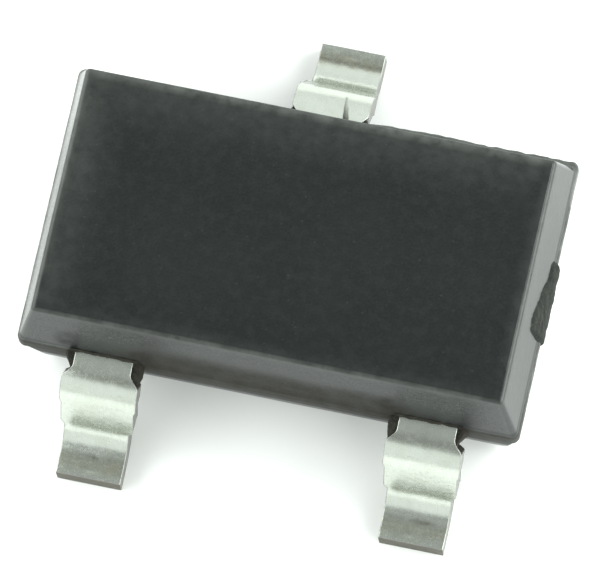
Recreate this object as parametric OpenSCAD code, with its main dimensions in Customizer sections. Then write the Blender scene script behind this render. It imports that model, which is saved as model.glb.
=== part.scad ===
// Three-lead surface-mount transistor: a moulded body on formed gull-wing leads, with its chip inside.
// Millimetres. +Z is up, the board is at z = 0, X runs along the body and the paired leads point to -Y.

/* [Body] */
// Length of the moulded body along X, at the parting line
body_length = 2.92; // [2.7:0.01:3.1]
// Width of the moulded body along Y, at the parting line
body_width = 1.63; // [1.5:0.01:1.68]
// Height of the moulded body from its underside to its top
body_height = 0.99; // [0.94:0.01:1.1]
// Moulding compound below the lead frame
lower_height = 0.46; // [0.4:0.01:0.48]
// Clear height between the underside of the body and the board
standoff = 0.06; // [0.02:0.01:0.1]
// How far the moulding sits towards the single lead, off the middle of the lead span
body_shift = 0.012; // [0:0.002:0.02]
// Slope of the upper side walls away from upright, in degrees
upper_draft = 12; // [6:0.5:14]
// Slope of the lower side walls away from upright, in degrees
lower_draft = 10; // [6:0.5:14]
// Rounding of the edges of the top face and the underside
edge_radius = 0.025; // [0.015:0.005:0.06]
// Rounding of the upright corners at the parting line
corner_radius = 0.035; // [0.025:0.005:0.08]
// Ledge left round the parting line by the mould halves
flash_reach = 0.014; // [0.008:0.002:0.03]

/* [Gate mark] */
// Width along Y of the stub where the moulding runner was broken off
gate_width = 0.56; // [0.4:0.01:0.7]
// Height of that stub above the lead frame at its -Y end
gate_height = 0.26; // [0.16:0.01:0.3]
// Height of that stub above the lead frame at its +Y end
gate_low_end = 0.1; // [0.06:0.01:0.14]
// How far the stub stands out from the end wall
gate_reach = 0.035; // [0.03:0.005:0.08]
// Slope of the stub's broken sides, measured in the plan
gate_taper = 0.05; // [0.02:0.01:0.1]

/* [Leads] */
// Distance between the toes of opposite leads
lead_span = 2.82; // [2.7:0.01:3]
// Step along X between neighbouring lead positions
lead_pitch = 0.95; // [0.9:0.01:1]
// Thickness of the lead frame strip
lead_thickness = 0.13; // [0.1:0.005:0.18]
// Width of the soldering foot
foot_width = 0.38; // [0.35:0.01:0.42]
// Flat length of the soldering foot
foot_length = 0.08; // [0.06:0.005:0.12]
// Width of the neck where a lead leaves the body
neck_width = 0.34; // [0.28:0.01:0.37]
// Width over the two stubs of the sheared dam bar
dambar_width = 0.45; // [0.43:0.01:0.52]
// Inner radius of the bend beside the body
upper_radius = 0.13; // [0.08:0.01:0.16]
// Inner radius of the bend above the foot
lower_radius = 0.19; // [0.12:0.01:0.22]
// Slope of the lead's leg below the level, in degrees
leg_angle = 72; // [68:1:80]
// Where the dam-bar stubs start on the upper bend, in degrees from its level end
stub_start = 26; // [15:1:40]
// How far the dam-bar stubs reach down the leg below the upper bend
stub_tail = 0.2; // [0.05:0.01:0.25]

/* [Resin beside the necks] */
// Width of the thin resin web on each side of a neck
web_width = 0.06; // [0.03:0.005:0.09]
// Reach of the resin web out from the side wall
web_reach = 0.08; // [0.05:0.01:0.11]

/* [Lead frame inside] */
// Least compound between the lead frame's posts and the front wall
frame_cover = 0.12; // [0.08:0.01:0.16]
// Length along X of each bonding post
post_length = 0.62; // [0.5:0.01:0.72]
// Width along Y of each bonding post
post_width = 0.36; // [0.28:0.01:0.4]
// Gap between the posts and the chip paddle
frame_gap = 0.17; // [0.12:0.01:0.22]
// Length along X of the chip paddle
paddle_length = 1.2; // [0.9:0.01:1.5]
// Width along Y of the chip paddle
paddle_width = 0.7; // [0.6:0.01:0.76]
// Rounding of the paddle's and posts' corners
frame_corner = 0.04; // [0.02:0.005:0.06]

/* [Chip] */
// Side of the square chip
die_size = 0.42; // [0.36:0.01:0.5]
// Thickness of the chip
die_thickness = 0.15; // [0.1:0.01:0.18]
// Side of each square contact pad on the chip
pad_size = 0.1; // [0.08:0.005:0.12]
// Height of the contact pads above the chip
pad_height = 0.004; // [0.002:0.001:0.008]
// Distance along X from the chip's middle to a contact pad
pad_offset = 0.11; // [0.09:0.005:0.12]
// Thickness of the layer that fixes the chip to the paddle
attach_thickness = 0.02; // [0.01:0.005:0.03]
// Margin of that layer all round the chip
attach_margin = 0.025; // [0.01:0.005:0.05]

/* [Bond wires] */
// Diameter of the bond wire
wire_diameter = 0.025; // [0.02:0.001:0.03]
// Diameter of the ball that joins the wire to the chip
ball_diameter = 0.07; // [0.05:0.005:0.075]
// Height of that ball
ball_height = 0.02; // [0.015:0.001:0.03]
// Compound between the top face and the control point that a wire's arch bends towards
wire_cover = 0.06; // [0.04:0.01:0.1]
// Slope of the wire where it comes down to the post, in degrees
wire_landing = 25; // [18:1:35]
// Length of the flattened bond on the post
stitch_length = 0.1; // [0.07:0.005:0.13]
// Width of the flattened bond on the post
stitch_width = 0.06; // [0.045:0.005:0.08]
// Height of the flattened bond on the post
stitch_height = 0.034; // [0.032:0.001:0.04]

/* [Hidden] */
// Heights of the underside, of the strip's two faces and of the top
z_under = standoff;
z_frame = z_under + lower_height;
z_frame_top = z_frame + lead_thickness;
z_middle = z_frame + lead_thickness / 2;
z_top = z_under + body_height;
upper_height = z_top - z_frame_top;

// Lead form in the plane of its strip: the two bends turn about points over the shoulder and the foot's start
toe = lead_span / 2;
foot_start = toe - foot_length;
both_radii = upper_radius + lower_radius + lead_thickness;
leg_length = (z_frame - both_radii * (1 - cos(leg_angle))) / sin(leg_angle);
leg_run = both_radii * sin(leg_angle) + leg_length * cos(leg_angle);
shoulder = foot_start - leg_run;
upper_outer = upper_radius + lead_thickness;
lower_outer = lower_radius + lead_thickness;
upper_bend = [shoulder, z_frame - upper_radius];
lower_bend = [foot_start, lead_thickness + lower_radius];
stub_place = shoulder + upper_outer * sin(stub_start);
wall = body_width / 2;
bend_steps = 12;

// Places of the posts and the paddle
post_front = frame_cover - wall;
post_back = post_front + post_width;
post_outer = lead_pitch + neck_width / 2;
post_middle = [post_outer - post_length / 2, (post_front + post_back) / 2];
paddle_front = post_back + frame_gap;
paddle_middle = paddle_front + paddle_width / 2;

// Heights of the chip's faces and the two ends of a wire
z_die = z_frame_top + attach_thickness;
z_die_top = z_die + die_thickness;
z_pad = z_die_top + pad_height;
wire_start = [pad_offset, paddle_middle];
wire_sides = 8;
wire_steps = 28;

// Points on an arc, from one angle to another
function arc(centre, radius, from, to) =
    [for (i = [0 : bend_steps])
        let (a = from + (to - from) * i / bend_steps)
        centre + radius * [cos(a), sin(a)]];

// Point on a cubic curve through its four control points, and the curve's direction there
function curve(p, t) =
    p[0] * pow(1 - t, 3) + p[1] * 3 * t * pow(1 - t, 2) + p[2] * 3 * t * t * (1 - t) + p[3] * pow(t, 3);
function slope(p, t) =
    let (d = (p[1] - p[0]) * pow(1 - t, 2) + (p[2] - p[1]) * 2 * t * (1 - t) + (p[3] - p[2]) * t * t)
    d / norm(d);

// Rectangle with rounded corners, centred
module rounded_plate(length, width, radius) {
    offset(r = radius, $fn = 32)
        square([length - 2 * radius, width - 2 * radius], center = true);
}

// One half of the body: drafted walls that rise from the parting line to a rounded face
module mould_half(height, draft) {
    inset = (height - edge_radius) * tan(draft) + edge_radius / cos(draft);
    hull() {
        linear_extrude(height = lead_thickness / 2)
            rounded_plate(body_length, body_width, corner_radius);
        for (sx = [-1, 1], sy = [-1, 1])
            translate([
                sx * (body_length / 2 - inset),
                sy * (body_width / 2 - inset),
                lead_thickness / 2 + height - edge_radius,
            ])
                sphere(r = edge_radius, $fn = 32);
    }
}

// Stub of the moulding runner, broken off at the +X end, lower towards +Y
module gate_remnant() {
    root = body_length / 2 - upper_height * tan(upper_draft) - edge_radius;
    face = body_length / 2 + gate_reach;
    bit = 0.01;
    hull()
        for (end = [[-1, gate_height], [1, gate_low_end]]) {
            translate([root, end[0] * (gate_width - bit) / 2 - bit / 2, z_frame])
                cube([bit, bit, lead_thickness + end[1]]);
            translate([face - bit, end[0] * ((gate_width - bit) / 2 - gate_taper) - bit / 2, z_frame])
                cube([bit, bit, lead_thickness + end[1] / 3]);
        }
}

// One copy at each lead, outwards along Y
module at_leads() {
    children();
    for (x = [-lead_pitch, lead_pitch])
        translate([x, 0, 0])
            mirror([0, 1, 0])
                children();
}

// Plan of the parting-line ledge, which stops at each neck
module ledge_plan() {
    difference() {
        rounded_plate(body_length + 2 * flash_reach, body_width + 2 * flash_reach, corner_radius);
        at_leads()
            translate([-neck_width / 2, wall])
                square([neck_width, 2 * flash_reach]);
    }
}

// Resin that ran out towards the dam bar on both sides of one neck
module web_plan() {
    half = neck_width / 2;
    for (side = [-1, 1])
        polygon([
            [side * half, wall - corner_radius],
            [side * (half + web_width), wall - corner_radius],
            [side * (half + web_width), wall + flash_reach],
            [side * half, wall + web_reach],
        ]);
}

// Side view of the bent strip, outwards along X, from a place inside the body to the toe
module strip_profile(inner) {
    polygon(concat(
        [[inner, z_frame_top]],
        arc(upper_bend, upper_outer, 90, 90 - leg_angle),
        arc(lower_bend, lower_radius, 270 - leg_angle, 270),
        [[toe, lead_thickness], [toe, 0]],
        arc(lower_bend, lower_outer, 270, 270 - leg_angle),
        arc(upper_bend, upper_radius, 90 - leg_angle, 90),
        [[inner, z_frame]]
    ));
}

// Side view of the stretch of the strip that the dam bar was sheared from
module stub_profile() {
    across = [sin(leg_angle), cos(leg_angle)];
    tail = min(stub_tail, leg_length) * [cos(leg_angle), -sin(leg_angle)];
    polygon(concat(
        arc(upper_bend, upper_outer, 90 - stub_start, 90 - leg_angle),
        [for (r = [upper_outer, upper_radius]) upper_bend + r * across + tail],
        arc(upper_bend, upper_radius, 90 - leg_angle, 90 - stub_start)
    ));
}

// A side view stood upright and given a width along X
module across_lead(width) {
    rotate([90, 0, 90])
        translate([0, 0, -width / 2])
            linear_extrude(height = width)
                children();
}

// Plan of a lead outside the body, outwards along Y: the neck and the wider foot
module lead_plan(inner) {
    translate([-neck_width / 2, inner])
        square([neck_width, toe - inner]);
    translate([-foot_width / 2, stub_place])
        square([foot_width, toe - stub_place]);
}

// Bent strip cut to the plan that is passed in, with the dam-bar stubs on its upper bend
module formed_lead(inner) {
    intersection() {
        linear_extrude(height = z_top)
            children();
        across_lead(body_length)
            strip_profile(inner);
    }
    across_lead(dambar_width)
        stub_profile();
}

// Front lead in its own place at -X, with its bonding post reaching towards the middle
module post_lead() {
    translate([-lead_pitch, 0, 0])
        mirror([0, 1, 0])
            formed_lead(-post_back) {
                lead_plan(-post_middle[1]);
                translate([lead_pitch - post_middle[0], -post_middle[1]])
                    rounded_plate(post_length, post_width, frame_corner);
            }
}

// Gold wire from a chip contact at -X to the post at -X: ball, arched wire and flattened end
module bond_wire() {
    from = [-wire_start[0], wire_start[1]];
    to = [-post_middle[0], post_middle[1]];
    reach = norm(to - from);
    along = (to - from) / reach;
    across = [-along[1], along[0], 0];
    z_landing = z_frame_top + stitch_height / 2;
    bends = [
        [0, z_pad + ball_height / 2],
        [0, z_top - wire_cover],
        [reach * (1 - cos(wire_landing) / 2), z_landing + reach * sin(wire_landing) / 2],
        [reach, z_landing],
    ];
    rings = [for (i = [0 : wire_steps])
        let (c = curve(bends, i / wire_steps), d = slope(bends, i / wire_steps))
        for (j = [0 : wire_sides - 1])
            let (a = 360 * (j + 0.5) / wire_sides, out = c[0] - d[1] * sin(a) * wire_diameter / 2)
            [from[0] + along[0] * out, from[1] + along[1] * out, c[1] + d[0] * sin(a) * wire_diameter / 2]
            + across * cos(a) * wire_diameter / 2];
    start_cap = [[for (j = [0 : wire_sides - 1]) j]];
    end_cap = [[for (j = [wire_sides - 1 : -1 : 0]) wire_steps * wire_sides + j]];
    sides = [for (i = [0 : wire_steps - 1], j = [0 : wire_sides - 1])
        let (k = (j + 1) % wire_sides)
        [i * wire_sides + j, (i + 1) * wire_sides + j, (i + 1) * wire_sides + k, i * wire_sides + k]];
    translate([from[0], from[1], z_pad])
        cylinder(d = ball_diameter, h = ball_height, $fn = 32);
    polyhedron(points = rings, faces = concat(start_cap, sides, end_cap), convexity = 4);
    translate([to[0], to[1], z_frame_top])
        rotate([0, 0, atan2(along[1], along[0])])
            translate([-stitch_length / 2, -stitch_width / 2, 0])
                cube([stitch_length, stitch_width, stitch_height]);
}

// Sub-parts

module package_body() {
    color([0.1, 0.11, 0.11])
        difference() {
            union() {
                translate([0, body_shift, 0]) {
                    translate([0, 0, z_middle])
                        mould_half(upper_height, upper_draft);
                    translate([0, 0, z_middle])
                        mirror([0, 0, 1])
                            mould_half(lower_height, lower_draft);
                    translate([0, 0, z_frame])
                        linear_extrude(height = lead_thickness)
                            ledge_plan();
                    gate_remnant();
                }
                translate([0, 0, z_frame])
                    linear_extrude(height = lead_thickness)
                        at_leads()
                            web_plan();
            }
            collector_lead();
            base_lead();
            emitter_lead();
            die();
            die_attach();
            base_wire();
            emitter_wire();
        }
}

module collector_lead() {
    color([0.8, 0.82, 0.78])
        formed_lead(paddle_front) {
            lead_plan(paddle_middle);
            translate([0, paddle_middle])
                rounded_plate(paddle_length, paddle_width, frame_corner);
        }
}

module base_lead() {
    color([0.8, 0.82, 0.78])
        post_lead();
}

module emitter_lead() {
    color([0.8, 0.82, 0.78])
        mirror([1, 0, 0])
            post_lead();
}

module die() {
    color([0.38, 0.4, 0.45])
        translate([0, paddle_middle, 0]) {
            translate([-die_size / 2, -die_size / 2, z_die])
                cube([die_size, die_size, die_thickness]);
            for (x = [-pad_offset, pad_offset])
                translate([x - pad_size / 2, -pad_size / 2, z_die_top])
                    cube([pad_size, pad_size, pad_height]);
        }
}

module die_attach() {
    side = die_size + 2 * attach_margin;
    color([0.7, 0.7, 0.68])
        translate([-side / 2, paddle_middle - side / 2, z_frame_top])
            cube([side, side, attach_thickness]);
}

module base_wire() {
    color([0.9, 0.72, 0.3])
        bond_wire();
}

module emitter_wire() {
    color([0.9, 0.72, 0.3])
        mirror([1, 0, 0])
            bond_wire();
}

package_body();
collector_lead();
base_lead();
emitter_lead();
die();
die_attach();
base_wire();
emitter_wire();
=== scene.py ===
"""Looks of a small three-lead surface-mount transistor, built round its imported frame.

Lengths are in mm until make_piece scales a finished mesh to metres.
"""
import math

import bmesh
import bpy
from mathutils import Matrix, Vector, noise


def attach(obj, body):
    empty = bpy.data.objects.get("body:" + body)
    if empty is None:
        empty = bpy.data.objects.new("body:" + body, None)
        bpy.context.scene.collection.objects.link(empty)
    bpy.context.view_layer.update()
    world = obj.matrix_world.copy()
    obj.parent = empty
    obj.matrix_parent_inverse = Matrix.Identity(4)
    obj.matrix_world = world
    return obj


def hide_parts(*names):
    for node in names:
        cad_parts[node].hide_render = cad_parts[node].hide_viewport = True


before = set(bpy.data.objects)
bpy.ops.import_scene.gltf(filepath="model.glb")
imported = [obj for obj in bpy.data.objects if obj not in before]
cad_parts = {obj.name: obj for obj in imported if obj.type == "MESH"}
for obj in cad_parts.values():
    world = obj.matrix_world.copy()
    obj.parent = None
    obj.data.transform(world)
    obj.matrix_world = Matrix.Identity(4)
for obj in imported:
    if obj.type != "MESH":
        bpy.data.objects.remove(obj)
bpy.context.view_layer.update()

MM = 0.001

# Moulded body
HALF_LENGTH = 1.46
HALF_WIDTH = 0.815
SHIFT = 0.012  # the body sits a little behind the middle of the leads
Z_UNDER = 0.06
Z_LEDGE = (0.52, 0.65)
Z_TOP = 1.05
DRAFT, UNDER_DRAFT = math.radians(12.0), math.radians(10.0)
EDGE = 0.025  # rounding of the rims round the top and the underside
CORNER = 0.035  # rounding of the upright corners at the parting line
FLASH = 0.014  # reach of the parting-line ledge
LONG_WALL = 0.6  # points further out in y than this lie on the front or back wall
TOP_IN = 0.1  # the flat faces start about this far inside the parting line
GATE_FACE = 1.495

# Formed leads: p runs along the strip's middle layer, s straight out from the part's middle
THICK = 0.13
UPPER = 0.13 + THICK / 2
LOWER = 0.20 + THICK / 2
TILT = math.radians(70.0)
TOE = 1.41
FOOT = 0.08
LEG = (Z_LEDGE[0] - (UPPER + LOWER) * (1 - math.cos(TILT))) / math.sin(TILT)
SHOULDER = TOE - FOOT - (UPPER + LOWER) * math.sin(TILT) - LEG * math.cos(TILT)
LEG_AT = SHOULDER + UPPER * TILT
HEEL_AT = LEG_AT + LEG
FOOT_AT = HEEL_AT + LOWER * TILT
TOE_AT = FOOT_AT + FOOT
FLARE_FRONT, FLARE_BACK = SHOULDER + 0.085, SHOULDER + 0.025
LEG_NARROWS, FOOT_NARROWS = SHOULDER + 0.26, SHOULDER + 0.47
NECK_HALF = 0.17
STUB_HALF = 0.225
LEG_HALF = 0.214
FOOT_HALF = 0.19

# Middle of each neck in x, and the side of the body that it leaves: -1 front, 1 back
BASE, EMITTER, COLLECTOR = (-0.95, -1.0), (0.95, -1.0), (0.0, 1.0)
NECKS = (BASE, EMITTER, COLLECTOR)


def smooth(t):
    """Smooth step of t, held between 0 and 1."""
    t = min(max(t, 0.0), 1.0)
    return t * t * (3.0 - 2.0 * t)


def grain(x, y, z, size, seed):
    """Smooth noise between about -1 and 1, with features of the given size in mm."""
    return noise.noise(Vector((x / size + seed, y / size - seed, z / size + 0.37 * seed)))


def speckle(x, y, z, size, seed):
    """The same noise between about 0 and 1."""
    return 0.5 + 0.5 * grain(x, y, z, size, seed)


def crumble(x, y, z, size, seed):
    """Broken-looking noise: several sizes of feature on top of each other."""
    at = Vector((x / size + seed, y / size - seed, z / size))
    return noise.fractal(at, 0.7, 2.1, 4)


def make_piece(name, points, faces, values=None, sharp=35.0):
    """A mesh piece from points in mm, with per-point values and smooth shading up to an angle."""
    mesh = bpy.data.meshes.new(name)
    mesh.from_pydata(points, [], faces)
    shape = bmesh.new()
    shape.from_mesh(mesh)
    bmesh.ops.recalc_face_normals(shape, faces=shape.faces)
    shape.to_mesh(mesh)
    shape.free()
    for key, numbers in (values or {}).items():
        mesh.attributes.new(key, "FLOAT", "POINT").data.foreach_set("value", numbers)
    mesh.polygons.foreach_set("use_smooth", [True] * len(mesh.polygons))
    mesh.set_sharp_from_angle(angle=math.radians(sharp))
    mesh.transform(Matrix.Scale(MM, 4))
    piece = bpy.data.objects.new(name, mesh)
    bpy.context.scene.collection.objects.link(piece)
    return piece


def tube_faces(count, rings):
    """Faces of a closed tube: rings of count points each, joined in turn, and two end caps."""
    faces = []
    for i in range(rings - 1):
        a, b = i * count, (i + 1) * count
        for j in range(count):
            k = (j + 1) % count
            faces.append((a + j, a + k, b + k, b + j))
    last = (rings - 1) * count
    faces.append(tuple(range(count)))
    faces.append(tuple(range(last, last + count)))
    return faces


def shell_faces(start, rows, columns):
    """Faces of two sheets of (rows + 1) x (columns + 1) points, joined round their rims."""
    row = columns + 1
    back = start + (rows + 1) * row
    faces = []
    for base in (start, back):
        for i in range(rows):
            for j in range(columns):
                a = base + i * row + j
                faces.append((a, a + 1, a + row + 1, a + row))
    rim = list(range(row))
    rim += [i * row + columns for i in range(1, rows + 1)]
    rim += [rows * row + j for j in range(columns - 1, -1, -1)]
    rim += [i * row for i in range(rows - 1, 0, -1)]
    for k, a in enumerate(rim):
        b = rim[(k + 1) % len(rim)]
        faces.append((start + a, start + b, back + b, back + a))
    return faces


# Course of the leads

def lead_middle(p):
    """Distance out, height and downward angle of the strip's middle layer at length p."""
    z = Z_LEDGE[0] + THICK / 2
    if p <= SHOULDER:
        return p, z, 0.0
    if p <= LEG_AT:
        turn = (p - SHOULDER) / UPPER
        return SHOULDER + UPPER * math.sin(turn), z - UPPER * (1 - math.cos(turn)), turn
    if p <= HEEL_AT:
        run = p - LEG_AT
        return (SHOULDER + UPPER * math.sin(TILT) + run * math.cos(TILT),
                z - UPPER * (1 - math.cos(TILT)) - run * math.sin(TILT), TILT)
    if p <= FOOT_AT:
        turn = TILT - (p - HEEL_AT) / LOWER
        return (TOE - FOOT - LOWER * math.sin(turn),
                THICK / 2 + LOWER * (1 - math.cos(turn)), turn)
    return TOE - FOOT + p - FOOT_AT, THICK / 2, 0.0


def step_to(p, place, before, after, ramp):
    """A value that changes from before to after over a short ramp round a place."""
    return before + (after - before) * smooth((p - place) / ramp + 0.5)


def flare(way):
    """Length at which a neck widens into its dam-bar stubs, nearer to the body at the back."""
    return FLARE_FRONT if way < 0 else FLARE_BACK


def lead_half(p, way):
    """Half width of a lead outside the body: neck, dam-bar stubs, leg, foot."""
    half = step_to(p, flare(way), NECK_HALF, STUB_HALF, 0.07)
    half = step_to(p, LEG_NARROWS, half, LEG_HALF, 0.04)
    return step_to(p, FOOT_NARROWS, half, FOOT_HALF, 0.045)


# Body

SIDE_STEPS = (116, 64)
CORNER_STEPS = 12
UNDER_STEPS, OVER_STEPS, RIM_STEPS = 12, 22, 12
LEAST_RADIUS = 0.0015
# Distances of the rings on the flat faces from the rim
FLAT_GAPS = (0.008, 0.02, 0.04, 0.07, 0.11, 0.16, 0.22, 0.30, 0.40, 0.52, 0.64, 0.685)
# Share of the ledge's reach, and how far inside the ledge's height
LEDGE_RISE = ((0.0, -0.010), (0.10, -0.002), (0.38, 0.006), (0.72, 0.014), (0.92, 0.024),
              (1.0, 0.038))
# Painted shade beside each neck: offset along the wall, height above the ledge, size
NECK_SHADE_SPOTS = ((-0.215, 0.11, 0.085), (0.215, 0.05, 0.075), (0.0, 0.0, 0.06))


def plan_ring(cx, cy, r):
    """Points round a rounded rectangle whose corner arcs have centres at (+-cx, +-cy)."""
    middles = ((cx, cy), (-cx, cy), (-cx, -cy), (cx, -cy))
    points = []
    for i, (mx, my) in enumerate(middles):
        for j in range(CORNER_STEPS + 1):
            turn = math.radians(90.0 * i + 90.0 * j / CORNER_STEPS)
            points.append((mx + r * math.cos(turn), my + r * math.sin(turn)))
        nx, ny = middles[(i + 1) % 4]
        turn = math.radians(90.0 * (i + 1))
        ax, ay = points[-1]
        bx, by = nx + r * math.cos(turn), ny + r * math.sin(turn)
        steps = SIDE_STEPS[i % 2]
        for j in range(1, steps):
            points.append((ax + (bx - ax) * j / steps, ay + (by - ay) * j / steps))
    return points


def half_rings(z_wall, z_flat, draft, steps):
    """Rings of one mould half, parting line to flat face: (inset, radius, z, wear, ledge)."""
    up = 1.0 if z_flat > z_wall else -1.0
    z_ball = z_flat - up * EDGE
    z_touch = z_ball + up * EDGE * math.sin(draft)
    touch = EDGE * math.cos(draft)
    inset = abs(z_touch - z_wall) * math.tan(draft) + touch
    rings = []
    for i in range(1, steps):
        t = i / steps
        z = z_wall + (z_touch - z_wall) * t
        rings.append((CORNER + (inset - CORNER) * t, CORNER + (touch - CORNER) * t, z,
                      0.55 * smooth(1.0 - abs(z_touch - z) / 0.05), 0.0))
    for i in range(RIM_STEPS + 1):
        turn = draft + (math.pi / 2 - draft) * i / RIM_STEPS
        rings.append((inset, max(EDGE * math.cos(turn), LEAST_RADIUS),
                      z_ball + up * EDGE * math.sin(turn), 0.55 + 0.45 * math.sin(2 * turn), 0.0))
    for gap in FLAT_GAPS:
        rings.append((inset + gap, LEAST_RADIUS, z_flat, 0.5 * smooth(1.0 - gap / 0.07), 0.0))
    return rings


def ledge_rings():
    """Rings round the thin parting-line ledge, from below to above, as in half_rings."""
    low, high = Z_LEDGE
    rows = [(share, low + rise) for share, rise in LEDGE_RISE]
    rows.append((1.0, (low + high) / 2))
    rows += [(share, high - rise) for share, rise in reversed(LEDGE_RISE)]
    return [(CORNER, CORNER + FLASH * share, z, 1.0 if share else 0.0, share) for share, z in rows]


def spill(x):
    """Extra reach of the ragged flash along the back, wider towards the gate end."""
    ragged = 0.75 + 0.30 * grain(x, 0.0, 0.0, 0.22, 4.9) + 0.18 * grain(x, 0.0, 0.0, 0.05, 8.3)
    return (0.014 + 0.030 * smooth((x - 0.05) / 0.5)) * ragged


def ragged_ledge(x, y, z, cx, cy, ledge):
    """A point of the ledge, moved in and out so that its outer edge is ragged."""
    short = 0.004 * speckle(x, y, 0.0, 0.16, 3.1) + 0.002 * speckle(x, y, z, 0.035, 7.7)
    out_x, out_y = max(abs(x) - cx, 0.0), max(abs(y) - cy, 0.0)
    pull = 1.0 - ledge * short / max(math.hypot(out_x, out_y), 1e-6)
    x = math.copysign(min(abs(x), cx) + out_x * pull, x)
    y = math.copysign(min(abs(y), cy) + out_y * pull, y)
    if y > LONG_WALL:
        y += ledge * spill(x)
    return x, y


def sink(x, y, z):
    """How far the flat faces fall in: a little towards the edges, as epoxy does on cooling."""
    gap = min(HALF_LENGTH - TOP_IN - abs(x), HALF_WIDTH - TOP_IN - abs(y))
    return 0.0035 * (1.0 - smooth(gap / 0.22)) + 0.0012 * speckle(x, y, z, 0.5, 1.3)


def wear_and_sheen_at(x, y, z, wear_and_sheen, flat, ledge):
    """Share of pale resin at a point: rubbed edges from the value given with its ring, and painted
    sheen along the back rim and the back and left borders of the top.
    """
    # the gate end is rubbed least, the back of the ledge and of the top rim most; the extra
    # paleness of the back rim is painted sheen
    rub_and_sheen = 0.4 if x > HALF_LENGTH - 0.2 else 0.7
    if ledge and y > LONG_WALL:
        rub_and_sheen = 1.0
    if z > Z_TOP - EDGE and y > 0:
        rub_and_sheen = max(rub_and_sheen, smooth((HALF_LENGTH - TOP_IN - x) / 0.1))
        wear_and_sheen = max(wear_and_sheen, smooth(1.0 - (HALF_WIDTH - 0.085 - y) / 0.085))
    if flat and z > Z_LEDGE[1]:
        # painted sheen on the top itself: hardly at its front border, and further in from its back
        # and left ones
        if y < 0.3 - HALF_WIDTH:
            wear_and_sheen *= 0.35
        wear_and_sheen = max(wear_and_sheen, 0.24 * smooth(1.0 - (HALF_WIDTH - TOP_IN - y) / 0.36),
                   0.30 * smooth(1.0 - (HALF_LENGTH - TOP_IN + x) / 0.30))
    return min(1.0, rub_and_sheen * wear_and_sheen * (0.45 + 0.8 * speckle(x, y, z, 0.09, 9.4)))


def neck_shade(x, y, z):
    """Painted shade on the wall round each neck, darker and rougher."""
    amount = 0.0
    for middle, way in NECKS:
        if y * way < LONG_WALL:
            continue
        for dx, dz, size in NECK_SHADE_SPOTS:
            far = math.hypot((x - middle - dx) / size, (z - Z_LEDGE[1] - dz) / (1.1 * size))
            amount = max(amount, smooth(1.35 - far))
    return amount


def bleed(y, z):
    """Dull brown resin skin along the parting line, thickest on the front wall."""
    low, high = Z_LEDGE
    band = smooth((high + 0.015 - z) / 0.03) * smooth((z - low + 0.03) / 0.03)
    if y < -LONG_WALL:
        return band * 0.70
    return band * (0.15 if y > LONG_WALL else 0.50)


def front_wall_shade(x, y, z):
    """Painted shade low on the front wall, browner and rougher: between the paired leads, and all
    along below the ledge.
    """
    if y > -LONG_WALL:
        return 0.0
    rim = 0.90 + 0.02 * grain(x, 0.0, 0.0, 0.35, 2.6) - 0.05 * smooth((abs(x) - 0.60) / 0.3)
    tall = smooth((rim - z) / 0.16) * smooth((z - 0.14) / 0.20)
    under = smooth((Z_LEDGE[0] + 0.03 - z) / 0.05)
    return tall * max(under, 1.0 - smooth((abs(x) - 0.72) / 0.36))


def end_wall(x, z, cx):
    """1 on the smoother end walls, 0 on the other faces."""
    return smooth((0.475 - abs(z - 0.55)) / 0.03) * smooth((abs(x) - cx) / 0.03 + 0.5)


def build_body():
    """The moulded body as one closed skin, with the values that its material reads."""
    rings = half_rings(Z_LEDGE[0], Z_UNDER, UNDER_DRAFT, UNDER_STEPS)[::-1]
    rings += ledge_rings()
    rings += half_rings(Z_LEDGE[1], Z_TOP, DRAFT, OVER_STEPS)
    fall = 0.0047  # the rims fall in as far as the flat faces do beside them
    points = []
    values = {key: [] for key in ("wear_and_sheen", "neck_shade", "bleed", "front_wall_shade", "side")}
    for inset, r, z, wear_and_sheen, ledge in rings:
        cx, cy = HALF_LENGTH - inset, HALF_WIDTH - inset
        flat = min(abs(z - Z_TOP), abs(z - Z_UNDER)) < 1e-6
        for x, y in plan_ring(cx, cy, r):
            height = z
            if ledge:
                x, y = ragged_ledge(x, y, z, cx, cy, ledge)
            elif flat:
                height += sink(x, y, z) * (-1.0 if z > Z_LEDGE[1] else 1.0)
            else:
                lean = 0.0018 * speckle(x, y, z, 0.28, 5.2)
                x -= math.copysign(lean, x) * smooth((abs(x) - cx) / 0.02)
                y -= math.copysign(lean, y) * smooth((abs(y) - cy) / 0.02)
                height -= fall * smooth((z - Z_TOP + EDGE) / EDGE)
                height += fall * smooth((Z_UNDER + EDGE - z) / EDGE)
            points.append((x, y + SHIFT, height))
            values["wear_and_sheen"].append(wear_and_sheen_at(x, y, z, wear_and_sheen, flat, ledge))
            values["neck_shade"].append(neck_shade(x, y, z))
            values["bleed"].append(bleed(y, z))
            values["front_wall_shade"].append(front_wall_shade(x, y, z))
            values["side"].append(end_wall(x, z, cx))
    faces = tube_faces(len(points) // len(rings), len(rings))
    return make_piece("body_shell", points, faces, values)


def wall_at(z):
    """Distance of the +X end wall from the middle, at a height."""
    return HALF_LENGTH - max(0.0, z - Z_LEDGE[1]) * math.tan(DRAFT)


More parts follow.
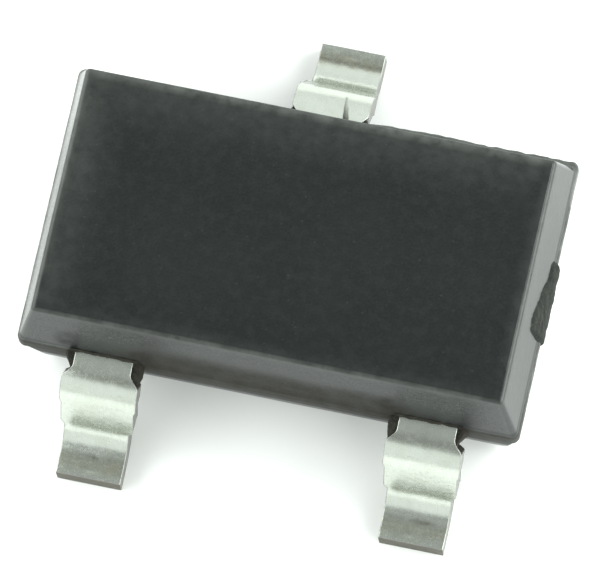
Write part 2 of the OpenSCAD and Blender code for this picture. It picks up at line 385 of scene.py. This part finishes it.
def build_gate():
    """The broken stub where the resin entered the mould: a rough face on the +X end."""
    across, upright = 110, 76
    half, low, high = 0.31, 0.515, 0.90
    grid = [(2 * half * j / across - half, low + (high - low) * i / upright)
            for i in range(upright + 1) for j in range(across + 1)]
    front, sill = GATE_FACE - 0.006, 0.63
    points = []
    for y, z in grid:
        wall = wall_at(z)
        # outline of the break, higher on the front side
        top = 0.715 + 0.135 * smooth((0.20 - y) / 0.36) + 0.012 * crumble(0.0, y, 0.3, 0.16, 2.0)
        side, row = (0.27, 1.1) if y > 0 else (0.25, 4.2)
        side += 0.010 * crumble(0.0, z, row, 0.12, 6.0)
        inside = smooth((side - abs(y)) / 0.045) * smooth((top - z) / 0.030)
        inside *= smooth((z - 0.522) / 0.014)
        # its face is upright below the sill and leans back to the wall above it
        rise = (z - sill) / max(top - sill, 0.01)
        slope = front + (wall + 0.003 - front) * min(max(rise, 0.0), 1.0)
        crust = 0.005 * crumble(0.0, y, z, 0.09, 1.0) + 0.0025 * crumble(0.0, y, z, 0.03, 8.0)
        x = (wall - 0.010) * (1.0 - inside) + (slope - 0.002 + crust) * inside
        points.append((min(x, GATE_FACE - 0.0005), y + SHIFT, z))
    points += [(wall_at(z) - 0.035, y + SHIFT, z) for y, z in grid]
    return make_piece("gate_stub", points, shell_faces(0, upright, across), sharp=50.0)


# Resin round the necks. Each shell has an outer sheet that shows and an inner one that is buried.

def web(middle, way, hand, rows, columns):
    """Resin in the corner between the body, one side of a neck and its dam bar."""
    wall = HALF_WIDTH + way * SHIFT
    first, last = wall - 0.02, flare(way) + 0.03
    width = 0.066 + 0.012 * grain(middle, hand, way, 0.9, 8.1)
    full = way > 0 or hand * middle < 0  # webs that still fill their corner up to the stub
    points = []
    for outer in (True, False):
        for i in range(rows + 1):
            p = first + (last - first) * i / rows
            s, z, turn = lead_middle(p)
            free = smooth((p - wall) / (last - wall))
            thick = (THICK / 2 - 0.004) * (1.0 - 0.22 * free)
            for j in range(columns + 1):
                h = -1.0 + 2.0 * j / columns
                n = thick * h - 0.006
                side = NECK_HALF - 0.010
                if outer:
                    reach = 0.002 + width * (1.0 - free) ** 1.2
                    if full:
                        reach = STUB_HALF - NECK_HALF + 0.010 * (1.0 - free)
                    reach *= (1.0 - 0.25 * h ** 4) * (1.0 - 0.15 * free ** 6)
                    reach += 0.004 * crumble(middle + hand, way * s, z + n, 0.05, 3.0)
                    side = NECK_HALF + reach
                points.append((middle + hand * side, way * (s + n * math.sin(turn)),
                               z + n * math.cos(turn)))
    return points


def tongue(rows, columns):
    """A thin tongue of resin that ran out over the back neck, and how pale it is."""
    first, last = HALF_WIDTH + SHIFT - 0.02, SHOULDER + 0.150
    points, pale = [], []
    for outer in (True, False):
        for i in range(rows + 1):
            t = i / rows
            s, z, turn = lead_middle(first + (last - first) * t)
            half = 0.022 * (1.0 - t) ** 0.6 + 0.003
            for j in range(columns + 1):
                h = -1.0 + 2.0 * j / columns
                x = 0.105 + half * h + 0.005 * grain(t, h, 0.0, 0.2, 2.2) - 0.034 * t
                n = THICK / 2 - 0.008
                if outer:
                    n += (0.011 + 0.004 * (1.0 - t)) * (1.0 - h * h)
                points.append((x, s + n * math.sin(turn), z + n * math.cos(turn)))
                pale.append(smooth((t + 0.10) / 0.95))
    return points, pale


def lip(middle, way, rows, columns):
    """A rounded lip of dark resin along the line where a neck leaves the body, put there to stand
    in for the shadow in that joint.
    """
    start, wide = middle - NECK_HALF - 0.03, 2 * NECK_HALF + 0.06
    foot = HALF_WIDTH + way * SHIFT + FLASH * 0.2 - 0.004
    points = []
    for outer in (True, False):
        for i in range(rows + 1):
            x = start + wide * i / rows
            r = 0.013 + 0.006 * crumble(x, way, 0.0, 0.06, 4.4) if outer else 0.001
            for j in range(columns + 1):
                turn = math.pi / 2 * j / columns
                points.append((x, way * (foot + r * math.cos(turn)),
                               Z_LEDGE[1] - 0.010 + (r + 0.012) * math.sin(turn)))
    return points


def build_webs():
    """All resin round the necks as one piece, with how pale each point is."""
    points, faces, pale = [], [], []

    def add(shell, size, paleness=None):
        faces.extend(shell_faces(len(points), *size))
        points.extend(shell)
        pale.extend(paleness or [0.0] * len(shell))

    web_size, tongue_size, lip_size = (30, 12), (24, 8), (40, 8)
    for middle, way in NECKS:
        for hand in (-1.0, 1.0):
            add(web(middle, way, hand, *web_size), web_size)
        if way > 0:
            shell, paleness = tongue(*tongue_size)
            add(shell, tongue_size, paleness)
        add(lip(middle, way, *lip_size), lip_size)
    return make_piece("resin_webs", points, faces, {"pale": pale}, sharp=50.0)


# Leads

POST, PADDLE = (0.335, 0.695), (-0.165, 0.535)  # where the wide inner parts start and end in p
POST_SIDE, PADDLE_SIDE = 0.45, 0.60  # how far they reach sideways
NIP = 0.04  # rounding of their inner corners
JOG = 0.02  # ramp from their width to the neck's
FINE_STEP = 0.0055
TOE_GAPS = (0.0042, 0.0030, 0.0020, 0.0012, 0.0005, 0.0)
ROLL, BURR = 0.0045, 0.003  # rounding of the upper edges, burr left at the lower ones
ROUND_STEPS, FACE_STEPS = 6, 34


def section(qa, qb, thin, drop):
    """Closed outline of the strip from side qa to side qb: (q, n, side).

    n runs along the upper normal. side is 0 on the faces, 1 on the sheared sides, between on edges.
    """
    top, low = THICK / 2 - thin - drop, -THICK / 2
    loop = []
    for i in range(FACE_STEPS + 1):
        loop.append((qa + ROLL + (qb - qa - 2 * ROLL) * i / FACE_STEPS, top, 0.0))
    # the rolled edge gets a side value of 0.7, which darkens it as painted shade over its highlight
    for i in range(1, ROUND_STEPS):
        turn = math.pi / 2 * i / ROUND_STEPS
        loop.append((qb - ROLL + ROLL * math.sin(turn), top - ROLL * (1 - math.cos(turn)), 0.7))
    for i in range(ROUND_STEPS + 1):
        t = i / ROUND_STEPS
        loop.append((qb, (top - ROLL) * (1 - t) + (low + BURR) * t, 1.0))
    loop.append((qb - BURR * 0.3, low + BURR * 0.3, 0.8))
    for i in range(FACE_STEPS + 1):
        loop.append((qb - BURR - (qb - qa - 2 * BURR) * i / FACE_STEPS, low, 0.0))
    loop.append((qa + BURR * 0.3, low + BURR * 0.3, 0.8))
    for i in range(ROUND_STEPS + 1):
        t = i / ROUND_STEPS
        loop.append((qa, (low + BURR) * (1 - t) + (top - ROLL) * t, 1.0))
    for i in range(1, ROUND_STEPS):
        turn = math.pi / 2 * (1 - i / ROUND_STEPS)
        loop.append((qa + ROLL - ROLL * math.sin(turn), top - ROLL * (1 - math.cos(turn)), 0.7))
    return loop


def lead_marks(start, end):
    """Lengths at which a lead has a section, closer together where its outline turns."""
    marks = [start + 0.002 * i for i in range(21)]
    marks += [start + NIP + (end - start - NIP - JOG) * i / 16 for i in range(1, 17)]
    marks += [end - JOG + 2 * JOG * i / 12 for i in range(1, 13)]
    span = TOE_AT - end - JOG
    steps = int(span / FINE_STEP)
    marks += [end + JOG + span * i / steps for i in range(1, steps)]
    marks += [TOE_AT - gap for gap in TOE_GAPS]
    return sorted(marks)


def lead_sides(p, way, inner, sides):
    """Sides of a lead at length p, from the wide inner part to the toe."""
    start, end = inner
    if p > end + 0.05:
        half = lead_half(p, way)
        return -half, half
    qa = step_to(p, end, sides[0], -NECK_HALF, JOG)
    qb = step_to(p, end, sides[1], NECK_HALF, JOG)
    if p - start < NIP:
        nip = NIP - math.sqrt(max(0.0, NIP ** 2 - (NIP - p + start) ** 2))
        qa, qb = qa + nip, qb - nip
    return qa, qb


def crease_and_shade_at(p, q, way, seed):
    """Dark bands across a lead, forming marks with painted shade: near the heel, and on the front
    bends.
    """
    heel, patch = 0.014, 0.5
    if way < 0:
        heel, patch = 0.072, 0.40 + 0.60 * smooth(1.3 - abs(q - 0.04) / 0.07)
    along = (p - FOOT_AT + heel + 0.014 * grain(q, seed, 0.0, 0.12, seed)) / 0.021
    mark = patch * math.exp(-along * along)
    if way < 0:
        along = (p - FLARE_FRONT + 0.012 * grain(q, seed, 2.0, 0.10, seed)) / 0.024
        mark = max(mark, 0.50 * math.exp(-along * along))
    return mark


def build_lead(name, neck, inner, sides, seed):
    """A formed lead. inner is where its wide inner part starts and ends, sides its q range."""
    middle, way = neck
    marks = lead_marks(*inner)
    points = []
    values = {key: [] for key in ("cut", "tint_and_shade", "toe", "crease_and_shade")}
    for p in marks:
        s, z, turn = lead_middle(p)
        qa, qb = lead_sides(p, way, inner, sides)
        half, mid = (qb - qa) / 2, (qa + qb) / 2
        toe = TOE_AT - p
        bent = min(smooth((p - SHOULDER) / 0.06), smooth((FOOT_AT - p) / 0.06))
        drop = 0.010 * (1.0 - smooth(toe / TOE_GAPS[0])) ** 2
        on_foot = smooth((p - FOOT_AT + 0.08) / 0.06) * smooth(toe / 0.09)
        seen = smooth((p - HALF_WIDTH + 0.05) / 0.03)
        for q, n, side in section(qa, qb, 0.003 * bent, drop):
            if n > THICK / 4 and side == 0.0:
                # the rolled upper face is very slightly crowned and never quite flat
                n -= 0.0022 * abs((q - mid) / half) ** 4 * seen
                n -= 0.0011 * speckle(q, p, seed, 0.11, seed) * seen
                n -= 0.0005 * speckle(q, p, seed, 0.032, seed + 5) * seen
                far = math.hypot((q - 0.06 * math.cos(seed)) / 0.060,
                                 (p - FOOT_AT - 0.028) / 0.026)
                n -= 0.0012 * smooth(1.0 - far)  # a shallow dent in the foot
            if side == 1.0:
                # the lower part of a sheared side is torn
                torn = smooth((0.01 - n) / 0.05)
                q -= math.copysign(0.0022 * torn * speckle(q, p, n, 0.016, seed), q - mid) * seen
                q -= math.copysign(0.0015 * speckle(q, p, n, 0.08, seed), q - mid) * seen
            points.append((middle + q, way * (s + n * math.sin(turn)), z + n * math.cos(turn)))
            # bare sheared metal on the sides and the toe; the rolled edges and the toe's top edge
            # get it too, as painted shade over their highlights
            values["cut"].append(1.0 if toe < 0.0035 else side * 0.5)
            values["toe"].append(1.0 if toe < 0.0012 else 0.0)
            # an olive tint on the upper face of the feet, darker as painted shade
            values["tint_and_shade"].append(on_foot if n > 0.0 else 0.0)
            values["crease_and_shade"].append(crease_and_shade_at(p, q, way, seed) if n > 0.0 else 0.0)
    faces = tube_faces(len(points) // len(marks), len(marks))
    return make_piece(name, points, faces, values, sharp=38.0)


# Materials

class Shader:
    """A material whose nodes are added one line at a time."""

    def __init__(self, name):
        self.material = bpy.data.materials.new(name)
        self.material.use_nodes = True
        self.nodes = self.material.node_tree.nodes
        self.links = self.material.node_tree.links
        self.surface = self.nodes["Principled BSDF"]
        self.place = self.add("TexCoord").outputs["Object"]

    def put(self, socket, value):
        if isinstance(value, bpy.types.NodeSocket):
            self.links.new(value, socket)
        else:
            socket.default_value = value

    def add(self, kind, inputs=None, **settings):
        node = self.nodes.new("ShaderNode" + kind)
        for key, value in settings.items():
            setattr(node, key, value)
        for key, value in (inputs or {}).items():
            self.put(node.inputs[key], value)
        return node

    def set(self, **values):
        for key, value in values.items():
            name = key.replace("_", " ").title().replace("Ior", "IOR")
            self.put(self.surface.inputs[name], value)

    def noise(self, scale, detail=2.0, rough=0.5, place=None, warp=0.0):
        inputs = {"Vector": place or self.place, "Scale": scale, "Detail": detail,
                  "Roughness": rough, "Distortion": warp}
        return self.add("TexNoise", inputs).outputs["Fac"]

    def cells(self, scale):
        node = self.add("TexVoronoi", {"Vector": self.place, "Scale": scale}, feature="F1")
        return node.outputs["Distance"]

    def stretch(self, x, y, z):
        return self.add("Mapping", {"Vector": self.place, "Scale": (x, y, z)}).outputs["Vector"]

    def span(self, value, low, high, out_low=0.0, out_high=1.0):
        inputs = {"Value": value, "From Min": low, "From Max": high, "To Min": out_low,
                  "To Max": out_high}
        return self.add("MapRange", inputs, interpolation_type="SMOOTHSTEP").outputs["Result"]

    def math(self, what, a, b):
        return self.add("Math", {0: a, 1: b}, operation=what).outputs[0]

    def times(self, a, b):
        return self.math("MULTIPLY", a, b)

    def plus(self, a, b):
        return self.math("ADD", a, b)

    def mix(self, amount, a, b):
        a, b = ((*c, 1.0) if isinstance(c, tuple) else c for c in (a, b))
        return self.add("Mix", {0: amount, 6: a, 7: b}, data_type="RGBA").outputs[2]

    def tint(self, colour, other, amount, share):
        """The colour with a share of another one mixed in, as far as amount says."""
        return self.mix(self.times(amount, share), colour, other)

    def value(self, name):
        return self.add("Attribute", attribute_name=name).outputs["Fac"]

    def bump(self, height, distance, strength, below=None):
        inputs = {"Height": height, "Distance": distance, "Strength": strength}
        if below is not None:
            inputs["Normal"] = below
        return self.add("Bump", inputs).outputs["Normal"]


def epoxy():
    """Filled black moulding compound: matt skin, smoother end walls, pale rubbed edges with painted
    sheen along the back, a brown skin at the parting line, and painted shade, browner and rougher,
    low on the front wall and round the necks.
    """
    m = Shader("moulding_compound")
    cloud = m.noise(2600.0, 4.0, 0.6)
    mottle = m.noise(16000.0, 3.0, 0.6)
    fine = m.noise(62000.0, 2.0, 0.6)
    wear_and_sheen = m.value("wear_and_sheen")
    colour = m.mix(m.span(cloud, 0.35, 0.65), (0.0028, 0.0046, 0.0048), (0.0044, 0.0066, 0.0066))
    colour = m.tint(colour, (0.0088, 0.0112, 0.0108), m.span(mottle, 0.42, 0.72), 0.6)
    filler = m.span(m.cells(26000.0), 0.20, 0.08)
    filler = m.times(filler, m.span(m.noise(21000.0, 1.0), 0.52, 0.66))
    colour = m.tint(colour, (0.040, 0.045, 0.042), filler, 0.35)
    # pale rubbed edges, with painted sheen along the back rim and the back and left borders of the
    # top
    worn_and_sheen = m.times(wear_and_sheen, m.span(mottle, 0.08, 0.60))
    colour = m.tint(colour, (0.092, 0.098, 0.089), worn_and_sheen, 0.65)
    # painted shade round the necks: darker colour and a rougher surface
    neck_shade_mask = m.times(m.value("neck_shade"), m.span(m.noise(7000.0, 3.0, 0.6), 0.30, 0.66))
    colour = m.tint(colour, (0.0040, 0.0045, 0.0038), neck_shade_mask, 0.8)
    # brown skin along the parting line, with a ragged rim
    bled = m.value("bleed")
    ragged = m.times(m.math("SUBTRACT", m.noise(13000.0, 4.0, 0.65), 0.5), 0.9)
    skinned = m.times(m.span(m.plus(bled, ragged), 0.30, 0.62), m.span(bled, 0.02, 0.15))
    brown = m.mix(m.noise(24000.0, 4.0, 0.65), (0.0065, 0.0062, 0.0045), (0.0230, 0.0195, 0.0115))
    colour = m.tint(colour, brown, skinned, 0.65)
    # painted shade low on the front wall: a brown-olive tint and a rougher surface
    tint_and_shade = m.times(m.value("front_wall_shade"), m.span(m.noise(9000.0, 4.0, 0.6), 0.30, 0.70, 0.72, 1.0))
    colour = m.tint(colour, (0.0100, 0.0090, 0.0042), tint_and_shade, 0.90)
    skin = m.bump(fine, 1.1e-6, 0.50)
    skin = m.bump(mottle, 1.8e-6, 0.40, skin)
    rough = m.plus(m.span(fine, 0.3, 0.7, 0.25, 0.32), m.times(wear_and_sheen, 0.22))
    rough = m.plus(rough, m.times(neck_shade_mask, 0.45))
    rough = m.plus(rough, m.math("MAXIMUM", m.times(skinned, 0.36), m.times(tint_and_shade, 0.54)))
    smoother = m.times(m.value("side"), m.span(mottle, 0.3, 0.7, 0.09, 0.13))
    rough = m.math("SUBTRACT", rough, smoother)
    m.set(base_color=colour, roughness=rough, normal=skin, ior=1.5)
    return m.material


def broken_epoxy(name, dark, light):
    """Torn resin: the filler grains stand out and the surface is matt, pale where it is thin."""
    m = Shader(name)
    lumps = m.noise(24000.0, 5.0, 0.65)
    grit = m.cells(52000.0)
    fine = m.noise(90000.0, 3.0, 0.6)
    colour = m.mix(m.span(lumps, 0.32, 0.70), dark, light)
    colour = m.tint(colour, (0.060, 0.060, 0.050), m.span(grit, 0.30, 0.10), 0.4)
    colour = m.tint(colour, (0.330, 0.345, 0.310), m.value("pale"), 0.9)
    skin = m.bump(lumps, 7.0e-6, 0.8)
    skin = m.bump(grit, 3.0e-6, 0.7, skin)
    skin = m.bump(fine, 1.4e-6, 0.6, skin)
    m.set(base_color=colour, roughness=m.span(fine, 0.3, 0.7, 0.66, 0.84), normal=skin, ior=1.35)
    return m.material


def tinned():
    """Matt tin over copper alloy: fine crystals, rolling lines, an olive tint with painted shade
    and smudges on the feet, dark bands of forming marks with painted shade, bare sheared metal with
    painted shade on the rolled edges.
    """
    m = Shader("tinned_lead")
    lines = m.noise(1.0, 3.0, 0.6, m.stretch(62000.0, 5200.0, 9000.0))
    crystals = m.cells(98000.0)
    cloud = m.noise(7000.0, 4.0, 0.6)
    fine = m.noise(74000.0, 2.0, 0.6)
    tint_and_shade, cut = m.value("tint_and_shade"), m.value("cut")
    colour = m.mix(m.span(cloud, 0.32, 0.68), (0.545, 0.577, 0.521), (0.600, 0.632, 0.585))
    colour = m.mix(m.span(crystals, 0.10, 0.70, 0.0, 0.12), colour, (0.484, 0.507, 0.456))
    colour = m.tint(colour, (0.420, 0.437, 0.382), m.span(lines, 0.50, 0.72), 0.12)
    # olive tint on the feet, darker as painted shade, with dark smudges in it
    marks = m.times(tint_and_shade, m.span(m.noise(15000.0, 4.0, 0.62, None, 0.6), 0.49, 0.66))
    colour = m.tint(colour, (0.415, 0.420, 0.350), tint_and_shade, 0.70)
    colour = m.tint(colour, (0.235, 0.230, 0.170), marks, 0.72)
    # dark bands across the bends: forming marks with painted shade
    patches = m.span(m.noise(11000.0, 4.0, 0.62, None, 0.4), 0.36, 0.58, 0.35, 1.0)
    colour = m.tint(colour, (0.200, 0.198, 0.155), m.times(m.value("crease_and_shade"), patches), 0.78)
    scuffs = m.span(m.noise(1.0, 4.0, 0.65, m.stretch(9000.0, 22000.0, 22000.0)), 0.60, 0.74)
    colour = m.tint(colour, (0.360, 0.375, 0.310), scuffs, 0.40)
    # bare sheared metal is darker; on the rolled edges and the toe's top edge this darkening is
    # painted shade
    bare = m.times(cut, m.span(m.noise(30000.0, 3.0, 0.6), 0.44, 0.64))
    colour = m.tint(colour, (0.245, 0.238, 0.240), cut, 1.70)
    colour = m.tint(colour, (0.330, 0.300, 0.230), bare, 0.50)
    colour = m.tint(colour, (0.105, 0.102, 0.078), m.value("toe"), 0.85)
    rough = m.plus(m.span(fine, 0.3, 0.7, 0.20, 0.28), m.times(marks, 0.16))
    rough = m.plus(rough, m.times(cut, 0.25))
    skin = m.bump(crystals, 0.30e-6, 0.14)
    skin = m.bump(lines, 0.35e-6, 0.20, skin)
    skin = m.bump(cloud, 1.6e-6, 0.35, skin)
    m.set(base_color=colour, roughness=rough, normal=skin, metallic=1.0)
    return m.material


def silicon():
    """The chip: dark and polished, with fine saw lines round its sides."""
    m = Shader("silicon")
    saw = m.noise(1.0, 2.0, 0.5, m.stretch(9000.0, 9000.0, 240000.0))
    haze = m.noise(14000.0, 3.0)
    colour = m.mix(m.span(haze, 0.3, 0.7), (0.115, 0.120, 0.150), (0.190, 0.200, 0.235))
    m.set(base_color=colour, roughness=m.span(saw, 0.3, 0.7, 0.16, 0.34), metallic=0.6,
          normal=m.bump(saw, 0.5e-6, 0.5))
    return m.material


def adhesive():
    """The layer under the chip: resin full of silver flakes."""
    m = Shader("die_adhesive")
    flakes = m.cells(110000.0)
    colour = m.mix(m.span(flakes, 0.15, 0.6), (0.62, 0.62, 0.60), (0.36, 0.36, 0.35))
    m.set(base_color=colour, roughness=m.span(flakes, 0.1, 0.7, 0.42, 0.66), metallic=0.4,
          normal=m.bump(flakes, 1.4e-6, 0.7))
    return m.material


def gold():
    """The bond wires: drawn gold."""
    m = Shader("gold_wire")
    drawn = m.noise(1.0, 2.0, 0.6, m.stretch(90000.0, 30000.0, 90000.0))
    colour = m.mix(m.span(drawn, 0.3, 0.7), (0.82, 0.56, 0.18), (0.93, 0.71, 0.30))
    m.set(base_color=colour, roughness=m.span(drawn, 0.3, 0.7, 0.16, 0.28), metallic=1.0,
          normal=m.bump(drawn, 0.4e-6, 0.5))
    return m.material


def pale_floor():
    """The studio floor: matt and nearly white."""
    m = Shader("pale_floor")
    cloud = m.noise(900.0, 3.0)
    colour = m.mix(cloud, (0.90, 0.90, 0.895), (0.93, 0.93, 0.925))
    m.set(base_color=colour, roughness=m.span(cloud, 0.3, 0.7, 0.75, 0.85))
    return m.material


# The object

pieces = [
    (build_body(), epoxy(), "package_body", "moulding_compound"),
    (build_gate(), broken_epoxy("torn_resin", (0.004, 0.005, 0.004), (0.015, 0.017, 0.013)),
     "package_body", "moulding_compound"),
    (build_webs(), broken_epoxy("resin_web", (0.007, 0.007, 0.005), (0.026, 0.023, 0.016)),
     "package_body", "moulding_compound"),
]
tin = tinned()
LEADS = (
    ("base", BASE, POST, (-NECK_HALF, POST_SIDE), 1.7),
    ("emitter", EMITTER, POST, (-POST_SIDE, NECK_HALF), 4.3),
    ("collector", COLLECTOR, PADDLE, (-PADDLE_SIDE, PADDLE_SIDE), 7.9),
)
for contact, neck, inner, sides, seed in LEADS:
    strip = build_lead(contact + "_strip", neck, inner, sides, seed)
    pieces.append((strip, tin, contact + "_lead", "tinned_lead"))
for piece, material, node, slot in pieces:
    piece.data.materials.append(material)
    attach(piece, "root")
    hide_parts(node)

hidden = {"die": silicon(), "die_attach": adhesive()}
hidden["base_wire"] = hidden["emitter_wire"] = gold()
for name, material in hidden.items():
    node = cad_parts[name]
    node.data.materials.clear()
    node.data.materials.append(material)

# Floor, a little below the feet, in metres
FAR, BELOW = 1.0, -2e-6
floor_mesh = bpy.data.meshes.new("floor")
floor_mesh.from_pydata([(-FAR, -FAR, BELOW), (FAR, -FAR, BELOW), (FAR, FAR, BELOW),
                        (-FAR, FAR, BELOW)], [], [(0, 1, 2, 3)])
floor = bpy.data.objects.new("floor", floor_mesh)
floor_mesh.materials.append(pale_floor())
bpy.context.scene.collection.objects.link(floor)

# A bright tent with a dark opening on the side that the photograph was taken from. The stops are
# the cosine of the angle from the opening's middle, and the brightness there.
OPENING = (0.1062, -0.2428, 0.9643)
STOPS = ((0.0, 1.19), (0.25, 1.26), (0.765, 1.26), (0.800, 0.49), (0.90, 0.47), (1.0, 0.54))
TENT_TINT = (0.950, 1.0, 0.968)
world = bpy.data.worlds.new("studio")
bpy.context.scene.world = world
world.use_nodes = True
sky = world.node_tree
direction = sky.nodes.new("ShaderNodeTexCoord")
cosine = sky.nodes.new("ShaderNodeVectorMath")
cosine.operation = "DOT_PRODUCT"
cosine.inputs[1].default_value = OPENING
ramp = sky.nodes.new("ShaderNodeValToRGB")
background = sky.nodes["Background"]
background.inputs["Strength"].default_value = 1.0
sky.links.new(direction.outputs["Generated"], cosine.inputs[0])
sky.links.new(cosine.outputs["Value"], ramp.inputs[0])
sky.links.new(ramp.outputs["Color"], background.inputs["Color"])
stops = ramp.color_ramp.elements
for i, (place, level) in enumerate(STOPS):
    stop = stops[i] if i < 2 else stops.new(place)
    stop.position = place
    stop.color = (*(level * part for part in TENT_TINT), 1.0)

# Soft boxes that face the part: azimuth, elevation, brightness. Sizes and distance in metres.
BOXES = {"right": (66.0, 33.0, 5.4), "left": (-88.0, 33.0, 2.5),
         "front right": (116.0, 34.0, 2.4), "front left": (-118.0, 34.0, 2.4)}
BOX_WIDE, BOX_TALL, BOX_AWAY = 0.008, 0.006, 0.009
BOX_TINT = (0.95, 1.0, 0.965)
for name, (azimuth, elevation, radiance) in BOXES.items():
    turn, lift = math.radians(azimuth), math.radians(elevation)
    way = Vector((math.sin(turn) * math.cos(lift), math.cos(turn) * math.cos(lift),
                  math.sin(lift)))
    lamp = bpy.data.lights.new(name, "AREA")
    lamp.shape, lamp.size, lamp.size_y = "RECTANGLE", BOX_WIDE, BOX_TALL
    lamp.energy = radiance * math.pi * BOX_WIDE * BOX_TALL
    lamp.color = BOX_TINT
    box = bpy.data.objects.new(name, lamp)
    box.location = way * BOX_AWAY
    box.rotation_mode = "QUATERNION"
    box.rotation_quaternion = way.to_track_quat("Z", "Y")
    box.visible_camera = False
    bpy.context.scene.collection.objects.link(box)

# Camera fitted to the photograph: the angles, the scale in pixels per mm, the distance in mm and
# the pixel at which the part's origin falls
AZIMUTH, ELEVATION, ROLLED = (math.radians(v) for v in (23.6115, 74.6335, -11.5292))
SCALE, DISTANCE = 174.233, 70.0
ORIGIN_AT = (302.9456, 284.7168)
PICTURE = (600.0, 585.0)
SENSOR = 36.0
SCALE_AT = 0.5  # the scale holds this far from the origin towards the camera
toward = Vector((math.sin(AZIMUTH) * math.cos(ELEVATION), -math.cos(AZIMUTH) * math.cos(ELEVATION),
                 math.sin(ELEVATION)))
level_right = Vector((math.cos(AZIMUTH), math.sin(AZIMUTH), 0.0))
level_down = level_right.cross(toward)
right = level_right * math.cos(ROLLED) - level_down * math.sin(ROLLED)
down = level_right * math.sin(ROLLED) + level_down * math.cos(ROLLED)
aim = (right * ((PICTURE[0] / 2 - ORIGIN_AT[0]) / SCALE)
       + down * ((PICTURE[1] / 2 - ORIGIN_AT[1]) / SCALE))
spot = (aim + toward * (DISTANCE + SCALE_AT)) * MM
lens = bpy.data.cameras.new("camera")
lens.sensor_width = SENSOR
lens.lens = SCALE * DISTANCE / PICTURE[0] * SENSOR
lens.clip_start, lens.clip_end = 0.001, 1.0
camera = bpy.data.objects.new("camera", lens)
up = -down
camera.matrix_world = Matrix(((right.x, up.x, toward.x, spot.x), (right.y, up.y, toward.y, spot.y),
                              (right.z, up.z, toward.z, spot.z), (0, 0, 0, 1)))
bpy.context.scene.collection.objects.link(camera)
bpy.context.scene.camera = camera
bpy.context.scene.view_settings.view_transform = "Standard"
